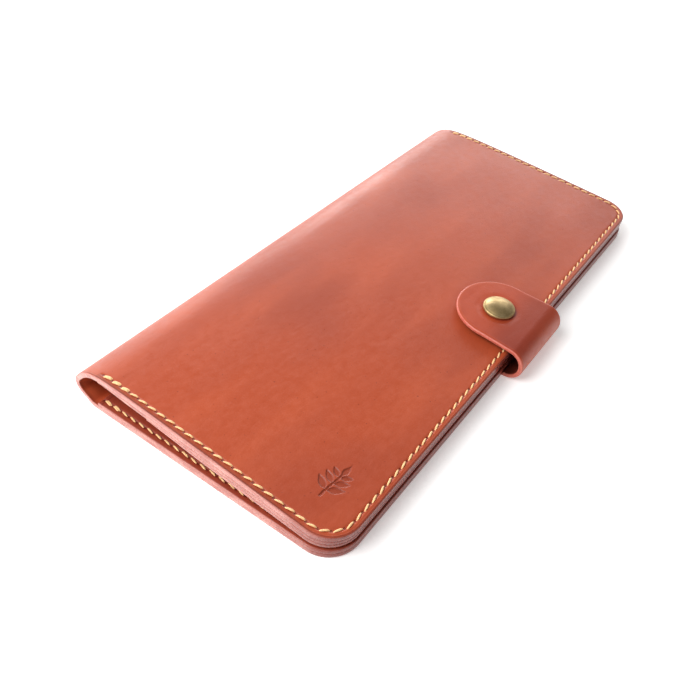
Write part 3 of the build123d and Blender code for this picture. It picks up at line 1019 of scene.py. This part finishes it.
bill_start, card_start = along_front(BILL_POCKET_X), along_front(CARD_POCKET_X)
divider_start, divider_end = card_start + 2.0, along_front(86.0)
mark_steps = np.arange(-6.6, 6.61, 0.19)
root_steps = np.arange(-0.7, 6.6, 0.24)
front_half = cover_half(
    "front", front_cover_place, FRONT_A, FRONT_SPLIT_U, front_seam,
    along_front(MARK_X) + mark_steps, MARK_Y + mark_steps, front_dent, front_fields)
back_half = cover_half(
    "back", back_cover_place, BACK_A, BACK_SPLIT_X, back_seam, ROOT_START_X + root_steps,
    [*(STRAP_Y - STRAP_HALF + root_steps), *(STRAP_Y + STRAP_HALF - root_steps)],
    back_dent, back_fields)
panel("back_bill_pocket", "back_leaf", placed, BACK_POCKET_X, COVER_T + PANEL_T, COVER_T,
      back_seam, end=LEAF_END, skin_shift=500)
panel("front_bill_pocket", "front_leaf", front_place, bill_start, bill_face, -COVER_T, front_seam,
      seam_until=card_start, skin_shift=700, roundness=(0.4, 0.25))
panel("front_card_pocket", "front_leaf", front_place, card_start, card_face, -COVER_T - PANEL_T,
      front_seam, divider_from=divider_start, tone=-0.06, skin_shift=900)
root_half = strap_lower()
tongue_half = strap_upper()


# ---- stitches and snap ----
def root_place(a, v, w):
    return placed(ROOT_SEAM_END_X - a, v + STRAP_Y, w)


front_thread = Thread(11)
front_thread.row(front_seam, front_place, STITCH_SLANT, radius=0.275, doubled=3)
front_thread.row(front_seam, front_place, -STITCH_SLANT, up=-1.0, w=seam_face, lift=0.0)
front_thread.piece("front_seam", "front_leaf")

SUNK = {"radius": 0.26, "lift": 0.22, "dive": 0.5}
back_thread = Thread(12)
back_thread.row(back_seam, placed, -STITCH_SLANT, w=COVER_T + PANEL_T, lift=0.02, doubled=2)
back_thread.row(back_seam, placed, STITCH_SLANT, up=-1.0, w=0.62, **SUNK)
back_thread.piece("back_seam", "back_leaf")

divider_thread = Thread(13)
for n in range(int((divider_end - divider_start) / PITCH)):
    at_u = divider_start + (n + 0.5) * PITCH
    divider_thread.one(front_place, (at_u, 0.0, card_face(at_u)), (1.0, 0.0), STITCH_SLANT,
                       up=-1.0, lift=0.0, length=2.95)
divider_thread.piece("card_divider", "front_leaf")

root_thread = Thread(14)
root_thread.row(root_seam, root_place, STITCH_SLANT, up=-1.0, w=0.60, **{**SUNK, "radius": 0.25})
root_thread.piece("strap_root", "back_leaf")


def raised(height, *profile):
    return [(r, h + height) for r, h in profile]


CAP_FOOT = SNAP_GAP + STRAP_T - 0.12
DOME_R, DOME_FALL = 4.55, 0.98
dome = [(r, -DOME_FALL * (r / DOME_R) ** 2.3) for r in np.linspace(0.35, DOME_R, 22)]
cap_profile = raised(
    CAP_FOOT + 2.26, (0, 0), *dome, (4.68, -1.07), (4.80, -1.10), (4.92, -1.10), (5.06, -1.14),
    (5.20, -1.24), (5.31, -1.42), (5.37, -1.65), (5.36, -1.88), (5.27, -2.08), (5.10, -2.22),
    (4.8, -2.26), (1.5, -2.26)) + raised(SNAP_GAP, (1.5, 0.5), (0, 0.5))
socket_profile = [
    (0, 1.34), (2.1, 1.34), (2.3, 1.28), (2.4, 1.1), (2.4, 0.75), (2.5, 0.6), (2.75, 0.5),
    (3.1, 0.5), (3.4, 0.66), (3.8, 0.72), (4.1, 0.7), (4.35, 0.8), (4.47, 1.0), (4.5, 1.3),
    (4.45, 1.7), (4.2, 1.88), (0, 1.88)]
stud_profile = [
    (0, 1.28), (1.0, 1.27), (1.5, 1.22), (1.8, 1.1), (1.9, 0.95), (1.86, 0.82), (1.66, 0.66),
    (1.62, 0.5), (1.75, 0.42), (2.2, 0.4), (3.0, 0.4), (3.3, 0.3), (3.6, 0.34), (3.95, 0.3),
    (4.15, 0.18), (4.2, 0.05), (4.1, 0.0), (0, 0.0)]
rivet_profile = raised(-COVER_T, (0, 0.0), (3.7, 0.0), (3.95, 0.08), (4.0, 0.28), (3.9, 0.46),
                       (3.6, 0.5), (1.5, 0.5), (1.5, COVER_T), (0, COVER_T))
for name, node, body, profile, sides in (
        ("snap_cap_dome", "snap_cap", "strap_tongue", cap_profile, 96),
        ("snap_socket_ring", "snap_socket", "strap_tongue", socket_profile, 72),
        ("snap_stud_head", "snap_stud", "front_leaf", stud_profile, 72),
        ("snap_stud_rivet", "snap_stud_base", "front_leaf", rivet_profile, 48)):
    lathe(name, node, body, profile, flat_front_place, (along_front(SNAP_X), STRAP_Y), sides)


# ---- the spine's cut, and the pieces fixed in place ----
def point(x, z):
    return Vector(((x + SHIFT_X) * MM, 0.0, z * MM))


def blended(piece, start, end, cut, cut_follows_second):
    way = end - start
    shares = [(p - start).dot(way) / way.length_squared for p in cut]
    if cut_follows_second:
        end = start + way * min(shares)
    else:
        start = start + way * max(shares)
    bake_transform(piece)


spine_cut = [point(*cover_line.at(split_s, w)) for w in (-COVER_T / 2, 0.0, COVER_T / 2)]
back_flat, front_flat = (point(*cover_line.at(s, 0.0)) for s in (back_flat_s, front_flat_s))
blended(back_half, back_flat, spine_cut[1], spine_cut, True)
blended(front_half, spine_cut[1], front_flat, spine_cut, False)
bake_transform(root_half)
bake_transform(tongue_half)


# ---- floor, light and camera ----
FLOOR_HALF, FLOOR_STEPS, FLOOR_Z = 3.0, 24, -0.00005
floor_line = np.linspace(-FLOOR_HALF, FLOOR_HALF, FLOOR_STEPS)
floor_points = [(x, y, FLOOR_Z) for x in floor_line for y in floor_line]
floor_quads = grid_quads(np.arange(FLOOR_STEPS ** 2).reshape(FLOOR_STEPS, FLOOR_STEPS))
floor_mesh = bpy.data.meshes.new("floor")
floor_mesh.from_pydata(floor_points, [], floor_quads.tolist())
floor_mesh.materials.append(Shader(bpy.data.materials.new("floor_white")).finish(
    Base_Color=(0.93, 0.925, 0.92), Roughness=0.9, Specular_IOR_Level=0.1,
    Emission_Color=(1.0, 0.99, 0.985), Emission_Strength=0.34))
new_object("floor", floor_mesh)

# white all round, brighter towards the horizon
world = bpy.context.scene.world = bpy.data.worlds.new("studio")
sky = Shader(world, "Background")
rise = sky.part(sky.node("TexCoord", {}), "Z")
sky.finish(Color=(1.0, 0.99, 0.98), Strength=sky.between(rise, 0.0, 0.38, 0.66, 0.25))


def area_light(name, place, target, size, power):
    data = bpy.data.lights.new(name, "AREA")
    data.shape = "RECTANGLE"
    data.size, data.size_y = size
    data.energy = power
    lamp = new_object(name, data)
    lamp.location = place
    way = Vector(target) - Vector(place)
    lamp.rotation_euler = way.to_track_quat("-Z", "Y").to_euler()


area_light("window", (-0.85, 0.40, 0.34), (0.0, 0.0, 0.0), (1.1, 0.55), 6.4)
area_light("back", (-0.46, 1.00, 0.42), (0.0, 0.05, 0.0), (1.0, 0.45), 5.6)
area_light("key", (-0.24, -0.40, 0.50), (0.0, -0.05, 0.0), (0.5, 0.5), 5.6)

CAMERA_PLACE = (0.098119, -0.181979, 0.165747)
CAMERA_TURN, CAMERA_DROP, CAMERA_ROLL = radians(33.1717), radians(42.7460), radians(3.9936)
camera_data = bpy.data.cameras.new("camera")
camera_data.lens = 38.13
camera_data.sensor_width = 36.0
camera_data.clip_start = 0.005
camera = new_object("camera", camera_data)
camera.matrix_world = (
    Matrix.Translation(CAMERA_PLACE) @ Matrix.Rotation(CAMERA_TURN, 4, "Z")
    @ Matrix.Rotation(pi / 2 - CAMERA_DROP, 4, "X") @ Matrix.Rotation(CAMERA_ROLL, 4, "Z"))
bpy.context.scene.camera = camera
bpy.context.scene.view_settings.view_transform = "Standard"
